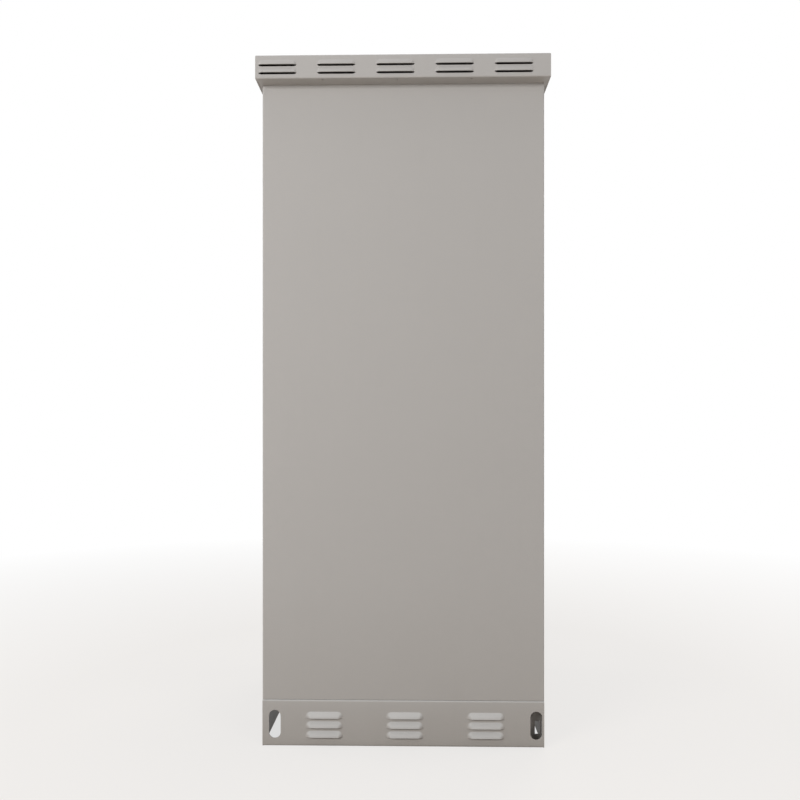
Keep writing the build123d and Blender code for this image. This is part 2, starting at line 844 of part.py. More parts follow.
with BuildPart() as base_screws:
    with BuildSketch(Plane.XZ.offset(-half_depth)):
        with Locations(*[(lock_x, spot) for spot in base_bolt_z]):
            Circle(base_bolt_radius)
    extrude(amount=door_sheet)
    with BuildSketch(Plane.XZ.offset(-skin_inside)):
        with Locations(*[(lock_x, spot) for spot in base_bolt_z]):
            RegularPolygon(base_bolt_radius * 1.8, 6, major_radius=False)
    extrude(amount=base_bolt_radius * 1.4)
finish(base_screws, "base_screws")

# Lever, drawn pointing to +X as it stands when the rods are drawn in
lever_low = lever_pin_y - lever_thick / 2
lever_high = lever_pin_y + lever_thick / 2
lever_tip_y = lever_high + lever_rise
eye_half = (cheek_gap - 2 * slip) / 2
with BuildPart() as lever:
    with BuildSketch(Plane.XY.offset(lock_z - lever_width / 2)):
        with BuildLine():
            Polyline(
                (lock_x, lever_low + lever_heel),
                (lock_x + lever_neck, lever_low + lever_heel),
                (lock_x + lever_length - lever_nose, lever_low + lever_heel),
                (lock_x + lever_length, lever_tip_y - lever_nose),
                (lock_x + lever_length, lever_tip_y),
                (lock_x + lever_length - lever_nose, lever_tip_y),
                (lock_x + lever_neck, lever_high),
                (lock_x, lever_high),
                close=True,
            )
        make_face()
        with Locations((lock_x, lever_pin_y)):
            Circle(lever_thick / 2 - lever_heel)
    extrude(amount=lever_width)
    for side in (-1, 1):
        with BuildSketch(Plane.XY.offset(lock_z + side * eye_half)):
            with Locations((lock_x, lever_pin_y)):
                Rectangle(2 * lever_neck, 3 * lever_thick)
        extrude(amount=side * lever_width, mode=Mode.SUBTRACT)
    with BuildSketch(Plane.XY.offset(lock_z - lever_width)):
        with Locations((lock_x, lever_pin_y)):
            Circle(lever_pin_radius + running_gap)
    extrude(amount=2 * lever_width, mode=Mode.SUBTRACT)
    with BuildSketch(Plane.XZ.offset(-lever_low)):
        with Locations((lock_x + cylinder_reach, lock_z)):
            Circle(cylinder_radius + running_gap)
    extrude(amount=-2 * lever_thick, mode=Mode.SUBTRACT)
finish(lever, "lever")

# Lock cylinder in the lever, with a keyway in its face
with BuildPart() as lock_cylinder:
    with BuildSketch(Plane.XZ.offset(-lever_low - lever_heel)):
        with Locations((lock_x + cylinder_reach, lock_z)):
            Circle(cylinder_radius)
    extrude(amount=-cylinder_length)
    with BuildSketch(Plane.XZ.offset(-lever_low - lever_heel - cylinder_length)):
        with Locations((lock_x + cylinder_reach, lock_z)):
            Rectangle(keyway_length, keyway_width)
    extrude(amount=keyway_depth, mode=Mode.SUBTRACT)
finish(lock_cylinder, "lock_cylinder")

# Hinges: leaves on the outside of the side wall and of the door, turning on fixed pins
hinge_x = half_width + knuckle_radius + slip
hinge_y = (frame_face + door_back) / 2
hinge_first = plinth_height + hinge_end
hinge_step = (body_height - 2 * hinge_end) / (hinge_count - 1)
hinge_levels = [hinge_first + index * hinge_step for index in range(hinge_count)]
leaf_list = (("hinge_body_leaves", -1, -1), ("hinge_door_leaves", 1, 1))
for name, side, half in leaf_list:
    with BuildPart() as leaves:
        for level in hinge_levels:
            low = level - knuckle_height if half < 0 else level + slip
            with BuildSketch(Plane.XY.offset(low)):
                with Locations((half_width + leaf_sheet / 2, hinge_y + side * leaf_width / 2)):
                    Rectangle(leaf_sheet, leaf_width)
                with Locations((hinge_x, hinge_y)):
                    Circle(knuckle_radius)
                    if half > 0:
                        Circle(hinge_pin_radius + running_gap, mode=Mode.SUBTRACT)
            extrude(amount=knuckle_height)
    finish(leaves, name)

with BuildPart() as hinge_pins:
    for level in hinge_levels:
        with BuildSketch(Plane.XY.offset(level)):
            with Locations((hinge_x, hinge_y)):
                Circle(hinge_pin_radius)
        extrude(amount=knuckle_height)
finish(hinge_pins, "hinge_pins")

# Depth rails along the side walls, and the four rack uprights bolted to them
rail_inner = wall_inside - rail_depth
rail_rear = floor_rear + bend
rail_front = frame_back - rail_setback
for side, side_name in ((-1, "left"), (1, "right")):
    for level, level_name in ((rail_low, "lower"), (rail_high, "upper")):
        section = [
            (side * wall_inside, level - rail_height / 2),
            (side * rail_inner, level - rail_height / 2),
            (side * rail_inner, level + rail_height / 2),
            (side * wall_inside, level + rail_height / 2),
        ]
        strip_line = section if side < 0 else section[::-1]
        with BuildPart() as depth_rail:
            add(
                folded_strip(
                    Plane.XZ.offset(-rail_front), strip_line, bracket_sheet, rail_front - rail_rear, 0.0
                )
            )
        finish(depth_rail, f"depth_rail_{level_name}_{side_name}")

upright_middle = (upright_low + upright_high) / 2
for way, way_name in ((1, "front"), (-1, "rear")):
    for side, side_name in ((-1, "left"), (1, "right")):
        face = way * upright_setback
        section = [
            (side * rack_opening / 2, face),
            (side * rail_inner, face),
            (side * rail_inner, face - way * upright_depth),
        ]
        strip_line = section if side * way < 0 else section[::-1]
        hole_x = side * (rack_opening / 2 + rack_hole_inset)
        with BuildPart() as upright:
            add(
                folded_strip(
                    Plane.XY.offset(upright_low),
                    strip_line,
                    bracket_sheet,
                    upright_high - upright_low,
                    0.0,
                )
            )
            with BuildSketch(Plane.XZ.offset(-face - bracket_sheet)):
                with Locations((hole_x, upright_middle)):
                    with GridLocations(1, rack_hole_units * rack_unit, 1, rack_holes):
                        Rectangle(rack_hole, rack_hole)
            extrude(amount=2 * bracket_sheet, mode=Mode.SUBTRACT)
        finish(upright, f"upright_{way_name}_{side_name}")

# Fixed shelf between the uprights
shelf_half_x = rack_opening / 2 - slip
shelf_half_y = upright_setback
with BuildPart() as shelf:
    with BuildSketch(Plane.XY.offset(shelf_z)):
        Rectangle(2 * shelf_half_x, 2 * shelf_half_y)
    extrude(amount=bracket_sheet)
    for side in (-1, 1):
        with BuildSketch(Plane.XY.offset(shelf_z)):
            with Locations((0, side * (shelf_half_y - bracket_sheet / 2))):
                Rectangle(2 * shelf_half_x, bracket_sheet)
        extrude(amount=-shelf_rim)
        with BuildSketch(Plane.XY.offset(shelf_z - shelf_rim)):
            with Locations((0, side * (shelf_half_y + bracket_sheet / 2))):
                Rectangle(2 * (rack_opening / 2 + shelf_ear), bracket_sheet)
        extrude(amount=shelf_rim)
finish(shelf, "shelf")

# Fans under the top plate: square frames with a motor hub on arms, and the impellers in them
fan_low = shell_top - fan_depth
with BuildPart() as fan_frames:
    with BuildSketch(Plane.XY.offset(fan_low)):
        with Locations(*fan_spots):
            Rectangle(fan_size, fan_size)
            Circle(fan_bore, mode=Mode.SUBTRACT)
    extrude(amount=fan_depth)
    with BuildSketch(Plane.XY.offset(fan_low)):
        with Locations(*fan_spots):
            Circle(fan_hub)
            Rectangle(2 * fan_bore + slip, fan_arm)
            Rectangle(fan_arm, 2 * fan_bore + slip)
    extrude(amount=fan_arm)
    with BuildSketch(Plane.XY.offset(fan_low)):
        with Locations(*fan_spots):
            Circle(fan_shaft)
    extrude(amount=fan_arm + fan_shaft_rise)
finish(fan_frames, "fan_frames")

impeller_low = fan_low + fan_arm + fan_tip_gap
impeller_high = shell_top - fan_tip_gap
blade_root = fan_hub - fan_tip_gap


def fan_blade():
    """One pitched blade reaching out along +X from inside the hub."""
    with BuildPart() as blade:
        with BuildSketch(Plane.YZ.offset(blade_root)):
            with Locations((0, (impeller_low + impeller_high) / 2)):
                Rectangle(blade_chord, blade_sheet, rotation=blade_pitch)
        extrude(amount=fan_bore - fan_tip_gap - blade_root)
    return blade.part


for spot, name in zip(fan_spots, ("fan_impeller_left", "fan_impeller_right")):
    with BuildPart() as impeller:
        with BuildSketch(Plane.XY.offset(impeller_low)):
            with Locations(spot):
                Circle(fan_hub)
        extrude(amount=impeller_high - impeller_low)
        with BuildSketch(Plane.XY.offset(impeller_low)):
            with Locations(spot):
                Circle(fan_shaft + running_gap)
        extrude(amount=fan_shaft_rise, mode=Mode.SUBTRACT)
        with Locations(spot):
            with PolarLocations(0, fan_blades):
                add(fan_blade())
    finish(impeller, name)

# Earth bar on two insulating posts on the rear wall
earth_y = floor_rear + earth_post
with BuildPart() as earth_posts:
    with BuildSketch(Plane.XZ.offset(-floor_rear)):
        with Locations((0, earth_z)):
            with GridLocations(earth_length - 2 * earth_inset, 1, 2, 1):
                RegularPolygon(earth_post_radius, 6, major_radius=False)
    extrude(amount=-earth_post)
finish(earth_posts, "earth_posts")

with BuildPart() as earth_bar:
    with BuildSketch(Plane.XZ.offset(-earth_y)):
        with Locations((0, earth_z)):
            Rectangle(earth_length, earth_height)
    extrude(amount=-earth_sheet)
    with BuildSketch(Plane.XZ.offset(-earth_y - earth_sheet)):
        with Locations((0, earth_z)):
            with GridLocations(earth_screw_pitch, 1, earth_screws, 1):
                RegularPolygon(earth_screw_radius, 6, major_radius=False)
    extrude(amount=-earth_screw_radius)
finish(earth_bar, "earth_bar")

# Document pocket on the inside of the door
with BuildPart() as document_pocket:
    with BuildSketch(Plane.XZ.offset(-skin_inside)):
        with Locations((pocket_x, pocket_z)):
            Rectangle(pocket_width, pocket_height)
    extrude(amount=pocket_depth)
    with BuildSketch(Plane.XY.offset(pocket_z - pocket_height / 2 + pocket_wall)):
        with Locations((pocket_x, skin_inside - pocket_depth / 2)):
            Rectangle(pocket_width - 2 * pocket_wall, pocket_depth - 2 * pocket_wall)
    extrude(amount=pocket_height, mode=Mode.SUBTRACT)
finish(document_pocket, "document_pocket")
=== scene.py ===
import json
import math

import bmesh
import bpy
from mathutils import Matrix, Vector

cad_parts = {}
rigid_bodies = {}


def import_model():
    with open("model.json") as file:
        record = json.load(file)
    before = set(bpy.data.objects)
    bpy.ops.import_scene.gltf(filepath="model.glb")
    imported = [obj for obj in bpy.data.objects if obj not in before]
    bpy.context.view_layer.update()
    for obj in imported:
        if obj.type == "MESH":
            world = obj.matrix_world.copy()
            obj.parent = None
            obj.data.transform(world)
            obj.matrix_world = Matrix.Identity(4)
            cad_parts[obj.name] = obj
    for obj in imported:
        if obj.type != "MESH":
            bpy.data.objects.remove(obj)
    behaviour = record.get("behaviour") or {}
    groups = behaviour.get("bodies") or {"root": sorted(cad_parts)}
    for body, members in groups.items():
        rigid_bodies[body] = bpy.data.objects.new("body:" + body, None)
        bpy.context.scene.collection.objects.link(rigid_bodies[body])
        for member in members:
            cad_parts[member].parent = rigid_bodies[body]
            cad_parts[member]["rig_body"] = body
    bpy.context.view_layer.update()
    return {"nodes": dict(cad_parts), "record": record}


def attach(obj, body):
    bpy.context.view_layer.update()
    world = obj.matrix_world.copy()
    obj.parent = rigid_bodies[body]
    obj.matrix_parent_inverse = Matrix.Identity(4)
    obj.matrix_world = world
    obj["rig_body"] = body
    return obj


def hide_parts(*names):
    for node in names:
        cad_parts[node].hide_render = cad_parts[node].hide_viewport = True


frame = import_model()
nodes = frame["nodes"]

# Sizes of the cabinet in metres, as the CAD has them
HALF_WIDTH = 0.300
HALF_DEPTH = 0.300
PLINTH_TOP = 0.100
ROOF_LOW = 1.4085
ROOF_TOP = ROOF_LOW + 0.049
ROOF_HALF_X = 0.308
ROOF_HALF_Y = 0.340
ROOF_SHEET = 0.0015
ROOF_FLANGE = 0.018
DRAIN_CENTRE = -0.012
DRAIN_PITCH = 0.156
DRAIN_INSET = 0.009
DRAIN_RADIUS = 0.0025
PLINTH_SHEET = 0.002
BEND = 0.003
BEND_STEPS = 5
FLANGE_HALF = 0.2967
PLINTH_FOOT = 0.040
REAR_LEDGE = 0.025
SLOT_WIDTH = 0.025
SLOT_HEIGHT = 0.060
SLOT_LEVEL = 0.047
SLOT_LEFT = -0.2735
SLOT_RIGHT = 0.283
ANCHOR_SIDE = 0.2
ANCHOR_INSET = 0.020
ANCHOR_RADIUS = 0.007

# Sizes that only the looks need: a softer plinth bend, and a front ledge that reaches under the sill
PLINTH_BEND = 0.005
FRONT_LEDGE = 0.036

# Vertices nearer than this are one
WELD = 0.00001

# Camera in front of the plain rear wall
CAMERA_LENS = 37.86
CAMERA_SHIFT = 0.030
CAMERA_SIDE = 0.0307
CAMERA_AWAY = 1.7902
CAMERA_HEIGHT = 0.6872
CAMERA_TURN = 0.0206

# Colours and levels of the studio
FLOOR_COLOUR = (0.52, 0.46, 0.40)
WHITE = (1.0, 1.0, 1.0)
WORLD_LEVEL = 0.24


# Shader maths


class Value:
    """One number of a finish, so that masks and mixes are written as plain arithmetic."""

    def __init__(self, finish, socket):
        self.finish = finish
        self.socket = socket

    def do(self, operation, *others):
        return self.finish.maths(operation, self, *others)

    def __add__(self, other):
        return self.do("ADD", other)

    __radd__ = __add__

    def __sub__(self, other):
        return self.do("SUBTRACT", other)

    def __rsub__(self, other):
        return self.finish.maths("SUBTRACT", other, self)

    def __mul__(self, other):
        return self.do("MULTIPLY", other)

    __rmul__ = __mul__

    def __truediv__(self, other):
        return self.do("DIVIDE", other)

    def __pow__(self, other):
        return self.do("POWER", other)

    def held(self):
        """The value kept between 0 and 1."""
        return self.finish.maths("ADD", self, 0.0, clamp=True)

    def above(self, edge, width):
        """0 below the edge, rising to 1 over the width."""
        return ((self - edge) / width).held()


class Shading:
    """A tree of shader nodes and the maths between them."""

    def __init__(self, tree):
        self.tree = tree

    def node(self, kind, settings=None, values=None):
        """A node of one type, with its settings made first and then its sockets fed."""
        made = self.tree.nodes.new(kind)
        for key, value in (settings or {}).items():
            setattr(made, key, value)
        for socket, value in (values or {}).items():
            self.feed(made.inputs[socket], value)
        return made

    def feed(self, socket, value):
        if isinstance(value, Value):
            value = value.socket
        if isinstance(value, bpy.types.NodeSocket):
            self.tree.links.new(value, socket)
        elif isinstance(value, tuple) and len(value) == 3 and socket.type == "RGBA":
            socket.default_value = (*value, 1.0)
        else:
            socket.default_value = value

    def maths(self, operation, *values, clamp=False):
        made = self.node(
            "ShaderNodeMath", {"operation": operation, "use_clamp": clamp}, dict(enumerate(values))
        )
        return Value(self, made.outputs[0])

    def seen(self):
        """1 where the camera, a reflection or a glass shows it, and 0 where it only lights."""
        path = self.node("ShaderNodeLightPath")
        seen = Value(self, path.outputs["Is Camera Ray"])
        for ray in ("Is Glossy Ray", "Is Transmission Ray"):
            seen = seen.do("MAXIMUM", Value(self, path.outputs[ray]))
        return seen


class Finish(Shading):
    """A material in the making: its shader's plain sockets, and the patterns that feed it."""

    def __init__(self, name, **sockets):
        self.material = bpy.data.materials.new(name)
        self.material.use_nodes = True
        super().__init__(self.material.node_tree)
        self.shader = self.tree.nodes["Principled BSDF"]
        for socket, value in sockets.items():
            self.shader.inputs[socket.replace("_", " ")].default_value = value
        self.place = self.node("ShaderNodeTexCoord").outputs["Object"]

    def axis(self, letter):
        """The piece's own X, Y or Z, in metres."""
        made = self.node("ShaderNodeSeparateXYZ", values={0: self.place})
        return Value(self, made.outputs[letter])

    def facing_up(self):
        """1 on what faces straight up, 0 on a wall and -1 underneath."""
        normal = self.node("ShaderNodeTexCoord").outputs["Normal"]
        made = self.node("ShaderNodeSeparateXYZ", values={0: normal})
        return Value(self, made.outputs["Z"])

    def stretched(self, scale):
        """The place on the piece, scaled by an amount for each axis."""
        return self.node("ShaderNodeMapping", values={"Vector": self.place, "Scale": scale}).outputs[0]

    def noise(self, scale, detail=2.0, rough=0.5, stretch=None):
        place = self.stretched(stretch) if stretch else self.place
        values = {"Vector": place, "Scale": scale, "Detail": detail, "Roughness": rough}
        return Value(self, self.node("ShaderNodeTexNoise", values=values).outputs[0])

    def cells(self, scale, output="Distance"):
        made = self.node("ShaderNodeTexVoronoi", values={"Vector": self.place, "Scale": scale})
        return made.outputs[output]

    def mix(self, share, first, second):
        """One colour where the share is 0 and the other where it is 1, by a Mix node's colour sockets."""
        made = self.node("ShaderNodeMix", {"data_type": "RGBA"}, {0: share, 6: first, 7: second})
        return made.outputs[2]

    def set(self, socket, value):
        self.feed(self.shader.inputs[socket], value)

    def bump(self, *layers):
        """Layers of relief, each a height and its depth in metres, one over the other."""
        normal = None
        for height, depth in layers:
            made = self.node(
                "ShaderNodeBump", values={"Strength": 1.0, "Distance": depth, "Height": height}
            )
            if normal:
                self.feed(made.inputs["Normal"], normal)
            normal = made.outputs[0]
        self.set("Normal", normal)


def powder_coat(name, tint=(0.400, 0.386, 0.373), painted_sky_tint=(0.50, 0.495, 0.486), peel=0.00016):
    """Warm light grey powder coat: orange peel, slow dents of thin sheet, and a darker, warmer foot that is
    road dust and painted shade.

    Sloping faces that look up, such as the louvres' hoods and the upper bends, are painted paler: painted
    light from above, strongest near the ground.
    """
    coat = Finish(name, Specular_IOR_Level=0.42)
    peel_relief = coat.noise(420.0, detail=2.5, rough=0.55)
    sheet_wave = coat.noise(5.0, detail=1.0)
    cloud = coat.noise(7.0, detail=4.0, rough=0.6)
    height = coat.axis("Z")
    streaks = coat.noise(60.0, detail=3.0, rough=0.6, stretch=(1.0, 1.0, 0.05))
    scuffs = coat.noise(45.0, detail=3.0, rough=0.7, stretch=(0.35, 0.35, 4.0)).above(0.70, 0.05)
    # Road dust and painted shade: the coat is painted darker and warmer towards the ground.
    dust_and_shade = (1.0 - height.above(0.02, 0.34)) * (0.35 + 0.65 * cloud)
    splash = 1.0 - height.above(0.0, 0.10)
    grime_and_shade = (dust_and_shade * 0.55 + splash * 0.35 + streaks.above(0.52, 0.3) * 0.06).held()
    grime_and_shade_tint = tuple(0.86 * channel * warm for channel, warm in zip(tint, (1.0, 0.97, 0.93)))
    dusty_and_shaded = coat.mix(grime_and_shade, tint, grime_and_shade_tint)
    cloudy = coat.mix((cloud - 0.3).held() * 0.22, dusty_and_shaded, tuple(0.93 * channel for channel in tint))
    scuffed = coat.mix(scuffs * 0.22, cloudy, tuple(1.12 * channel for channel in tint))
    # Painted light: upward-sloping faces are painted paler, as if lit from the sky above.
    slope = coat.facing_up()
    sloping = slope.above(0.12, 0.30) * (1.0 - slope.above(0.90, 0.08))
    painted_sky_light = sloping * (1.0 - 0.85 * height.above(0.15, 0.9))
    coat.set("Base Color", coat.mix(painted_sky_light, scuffed, painted_sky_tint))
    coat.set("Roughness", (0.36 + cloud * 0.12 + grime_and_shade * 0.20 + scuffs * 0.06).held())
    coat.bump((sheet_wave, 0.0012), (peel_relief, peel))
    return coat.material


def zinc_sheet(name):
    """Hot-dip galvanised sheet: spangles that catch the light each in their own way."""
    zinc = Finish(name, Metallic=0.9)
    spangle = zinc.node("ShaderNodeRGBToBW", values={0: zinc.cells(95.0, output="Color")})
    flake = Value(zinc, spangle.outputs[0])
    haze = zinc.noise(11.0, detail=3.0)
    zinc.set("Base Color", zinc.mix(flake, (0.44, 0.45, 0.46), (0.62, 0.63, 0.645)))
    zinc.set("Roughness", (0.34 + flake * 0.16 + haze * 0.14).held())
    zinc.bump((flake, 0.00004), (zinc.noise(900.0), 0.00002))
    return zinc.material


def zinc_plate(name, colour=(0.60, 0.60, 0.59), rough=0.30):
    """Bright zinc plated or plain turned steel, with fine wear."""
    plate = Finish(name, Metallic=1.0)
    smear = plate.noise(130.0, detail=3.0)
    fine = plate.noise(2200.0, detail=2.0)
    plate.set("Base Color", plate.mix(smear, colour, tuple(0.78 * channel for channel in colour)))
    plate.set("Roughness", (rough - 0.05 + smear * 0.16).held())
    plate.bump((fine, 0.00001))
    return plate.material


def moulding(name, colour, grain=1500.0, rough=0.5):
    """Moulded plastic with a fine eroded grain."""
    plastic = Finish(name, Specular_IOR_Level=0.5)
    cloud = plastic.noise(60.0, detail=2.0)
    relief = plastic.noise(grain, detail=2.0, rough=0.6)
    pale = tuple(min(1.0, channel * 1.25 + 0.006) for channel in colour)
    plastic.set("Base Color", plastic.mix(cloud, colour, pale))
    plastic.set("Roughness", (rough - 0.06 + cloud * 0.12).held())
    plastic.bump((relief, 0.00006))
    return plastic.material


def filter_mat(name):
    """Bonded polyester filter mat: fibres of two tones, with tufts in its relief."""
    mat = Finish(name, Roughness=0.95, Specular_IOR_Level=0.1, Sheen_Weight=0.4)
    fibre = mat.noise(260.0, detail=5.0, rough=0.75)
    tuft = mat.noise(45.0, detail=3.0)
    mat.set("Base Color", mat.mix(fibre, (0.50, 0.50, 0.46), (0.78, 0.78, 0.74)))
    mat.bump((tuft, 0.0012), (fibre, 0.0006))
    return mat.material


def foam_rubber(name):
    """Foamed door seal: matt, with tiny open cells."""
    foam = Finish(name, Roughness=0.88, Specular_IOR_Level=0.25)
    pores = foam.cells(900.0)
    tone = foam.noise(30.0, detail=2.0)
    foam.set("Base Color", foam.mix(tone, (0.016, 0.016, 0.017), (0.036, 0.036, 0.036)))
    foam.bump((pores, 0.0002))
    return foam.material


def copper_bar(name):
    """Drawn copper bar: brushed along its length, dulled in patches."""
    copper = Finish(name, Metallic=1.0)
    brush = copper.noise(900.0, detail=3.0, stretch=(0.02, 1.0, 1.0))
    dull = copper.noise(22.0, detail=3.0)
    copper.set("Base Color", copper.mix(dull, (0.72, 0.40, 0.27), (0.42, 0.22, 0.14)))
    copper.set("Roughness", (0.24 + dull * 0.25).held())
    copper.bump((brush, 0.00002))
    return copper.material


FINISHES = {
    "painted_sheet": powder_coat("light_grey_powder_coat"),
    "galvanised_sheet": zinc_sheet("galvanised_sheet_spangle"),
    "plated_steel": zinc_plate("zinc_plated_steel"),
    "black_plastic": moulding("black_grained_plastic", (0.018, 0.018, 0.019), rough=0.48),
    "filter_mat": filter_mat("bonded_filter_mat"),
    "gasket_rubber": foam_rubber("foamed_door_seal"),
    "cylinder_metal": zinc_plate("satin_chrome_cylinder", colour=(0.66, 0.66, 0.66), rough=0.18),
    "copper": copper_bar("drawn_copper_bar"),
    "post_resin": moulding("insulator_resin", (0.42, 0.028, 0.016), grain=700.0, rough=0.32),
    "grey_plastic": moulding("grey_pocket_plastic", (0.33, 0.34, 0.35), grain=1100.0, rough=0.45),
}
SLOTS = {part["node"]: part["material_slot"] for part in frame["record"]["subparts"]}
for node_name, cad_node in nodes.items():
    cad_node.data.materials.clear()
    cad_node.data.materials.append(FINISHES[SLOTS[node_name]])


# Pieces


def as_piece(name, mesh, body, slot, *replaced):
    """A finished mesh as a piece that rides on a body, in place of the CAD nodes it shows better."""
    thing = bpy.data.objects.new(name, mesh)
    bpy.context.scene.collection.objects.link(thing)
    mesh.materials.clear()
    mesh.materials.append(FINISHES[slot])
    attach(thing, body)
    if replaced:
        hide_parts(*replaced)


def finished_mesh(thing):
    """The plain mesh that an object's modifiers give. The object itself goes."""
    graph = bpy.context.evaluated_depsgraph_get()
    mesh = bpy.data.meshes.new_from_object(thing.evaluated_get(graph))
    bpy.data.objects.remove(thing)
    return mesh


def temporary(name, mesh):
    """An object that lasts only until its mesh is finished."""
    thing = bpy.data.objects.new(name, mesh)
    bpy.context.scene.collection.objects.link(thing)
    return thing


def smoothed(mesh, degrees=32.0):
    for face in mesh.polygons:
        face.use_smooth = True
    mesh.set_sharp_from_angle(angle=math.radians(degrees))
    return mesh


def softened(node_name, width, segments=2, degrees=28.0):
    """The CAD node with its hard edges rounded, as bending, casting and wear leave them."""
    work = bmesh.new()
    work.from_mesh(nodes[node_name].data)
    bmesh.ops.remove_doubles(work, verts=work.verts, dist=WELD)
    bmesh.ops.dissolve_limit(
        work, angle_limit=math.radians(0.5), verts=work.verts, edges=work.edges
    )
    mesh = bpy.data.meshes.new(node_name + "_soft")
    work.to_mesh(mesh)
    work.free()
    thing = temporary(node_name + "_soft", mesh)
    edge = thing.modifiers.new("edge", "BEVEL")
    edge.width = width
    edge.segments = segments
    edge.limit_method = "ANGLE"
    edge.angle_limit = math.radians(degrees)
    edge.use_clamp_overlap = True
    edge.miter_outer = "MITER_ARC"
    body = nodes[node_name]["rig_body"]
    as_piece(node_name + "_shown", smoothed(finished_mesh(thing)), body, SLOTS[node_name], node_name)


# Pressed louvres: one hood in its patch of sheet, laid out in rows by Geometry Nodes


def louvre_patch(name, length, height, depth, end, margin, below, above, gap):
    """One pressed hood in flat sheet: X along, Y up, Z out. Its mouth is at Y 0, over a gap."""
    reach = length / 2 + margin
    end_steps = 6
    eased = [1 - math.cos(math.pi / 2 * k / end_steps) for k in range(end_steps + 1)]
    along = [-reach, *(-length / 2 + end * share for share in eased)]
    along += [-x for x in reversed(along)]
    rise_steps = 7
    up = [height * math.sin(math.pi / 2 * k / rise_steps) for k in range(rise_steps + 1)] + [height + above]

    def lift(x, y):
        side = max(0.0, (abs(x) - (length / 2 - end)) / end)
        share = 1.0 - math.hypot(min(side, 1.0), min(y / height, 1.0))
        return depth * (1.0 - (1.0 - share) ** 1.2) if share > 0 else 0.0

    def cut(x):
        side = min(1.0, max(0.0, (abs(x) - (length / 2 - end)) / end))
        return -gap * math.sqrt(1.0 - side * side)

    work = bmesh.new()
    foot = [work.verts.new((x, -below, 0.0)) for x in along]
    brink = [work.verts.new((x, cut(x), 0.0)) for x in along]
    hood = [[work.verts.new((x, y, lift(x, y))) for x in along] for y in up]
    for low, high in [(foot, brink), *zip(hood, hood[1:])]:
        for k in range(len(along) - 1):
            work.faces.new((low[k], low[k + 1], high[k + 1], high[k]))
    bmesh.ops.remove_doubles(work, verts=work.verts, dist=WELD)
    mesh = bpy.data.meshes.new(name)
    work.to_mesh(mesh)
    work.free()
    return temporary(name, mesh)


def rows_tree(name):
    """Geometry Nodes: a shape repeated in groups along X and rows along Y."""
    tree = bpy.data.node_groups.new(name, "GeometryNodeTree")
    sockets = {}
    face = tree.interface
    for label, kind in (
        ("Geometry", "NodeSocketGeometry"),
        ("Shape", "NodeSocketObject"),
        ("Groups", "NodeSocketInt"),
        ("Rows", "NodeSocketInt"),
        ("Length", "NodeSocketFloat"),
        ("Height", "NodeSocketFloat"),
        ("Finish", "NodeSocketMaterial"),
    ):
        sockets[label] = face.new_socket(label, in_out="INPUT", socket_type=kind).identifier
    face.new_socket("Geometry", in_out="OUTPUT", socket_type="NodeSocketGeometry")
    made = {
        key: tree.nodes.new(kind)
        for key, kind in {
            "in": "NodeGroupInput",
            "grid": "GeometryNodeMeshGrid",
            "shape": "GeometryNodeObjectInfo",
            "place": "GeometryNodeInstanceOnPoints",
            "real": "GeometryNodeRealizeInstances",
            "weld": "GeometryNodeMergeByDistance",
            "finish": "GeometryNodeSetMaterial",
            "out": "NodeGroupOutput",
        }.items()
    }
    made["weld"].inputs["Distance"].default_value = WELD
    for start, output, end, socket in (
        ("in", "Length", "grid", "Size X"),
        ("in", "Height", "grid", "Size Y"),
        ("in", "Groups", "grid", "Vertices X"),
        ("in", "Rows", "grid", "Vertices Y"),
        ("in", "Shape", "shape", "Object"),
        ("grid", "Mesh", "place", "Points"),
        ("shape", "Geometry", "place", "Instance"),
        ("place", "Instances", "real", "Geometry"),
        ("real", "Geometry", "weld", "Geometry"),
        ("weld", "Geometry", "finish", "Geometry"),
        ("in", "Finish", "finish", "Material"),
        ("finish", "Geometry", "out", "Geometry"),
    ):
        tree.links.new(made[start].outputs[output], made[end].inputs[socket])
    return tree, sockets


ROWS_TREE, ROWS_SOCKETS = rows_tree("rows_of_a_shape")


def in_rows(shape, groups, rows, pitch, step, slot):
    """The plain mesh of a shape repeated on a grid that is centred on the origin."""
    holder = temporary("rows", bpy.data.meshes.new("rows"))
    maker = holder.modifiers.new("rows", "NODES")
    maker.node_group = ROWS_TREE
    for label, value in (
        ("Shape", shape),
        ("Groups", groups),
        ("Rows", rows),
        ("Length", (groups - 1) * pitch),
        ("Height", (rows - 1) * step),
        ("Finish", FINISHES[slot]),
    ):
        maker[ROWS_SOCKETS[label]] = value
    return finished_mesh(holder)


def loop_edges(work, points):
    """A closed loop of new edges through points."""
    corners = [work.verts.new(point) for point in points]
    return chain_edges(work, corners + corners[:1])


def chain_edges(work, corners):
    """The edges along a chain of vertices, made where they are missing."""
    return [work.edges.get(pair) or work.edges.new(pair) for pair in zip(corners, corners[1:])]


def circle_points(centre, radius, steps, first=0.0, turn=2 * math.pi):
    """Points on an arc in the X and Y plane; a whole circle doesn't repeat its first point."""
    count = steps if turn == 2 * math.pi else steps + 1
    angles = [first + turn * k / steps for k in range(count)]
    return [(centre[0] + radius * math.cos(a), centre[1] + radius * math.sin(a)) for a in angles]


def slot_points(centre, width, height, steps=12):
    """Outline of an upright slot with round ends."""
    radius, half = width / 2, (height - width) / 2
    upper = circle_points((centre[0], centre[1] + half), radius, steps, 0.0, math.pi)
    lower = circle_points((centre[0], centre[1] - half), radius, steps, math.pi, math.pi)
    return [(x, y, 0.0) for x, y in upper + lower]


def fill_between(work, edges, out):
    """Flat faces between an outer loop and the loops inside it."""
    bmesh.ops.triangle_fill(work, use_beauty=True, edges=list(dict.fromkeys(edges)), normal=out)


def span(work, rows):
    """Faces between rows of vertices, each the next one over."""
    for low, high in zip(rows, rows[1:]):
        for k in range(len(low) - 1):
            work.faces.new((low[k], low[k + 1], high[k + 1], high[k]))


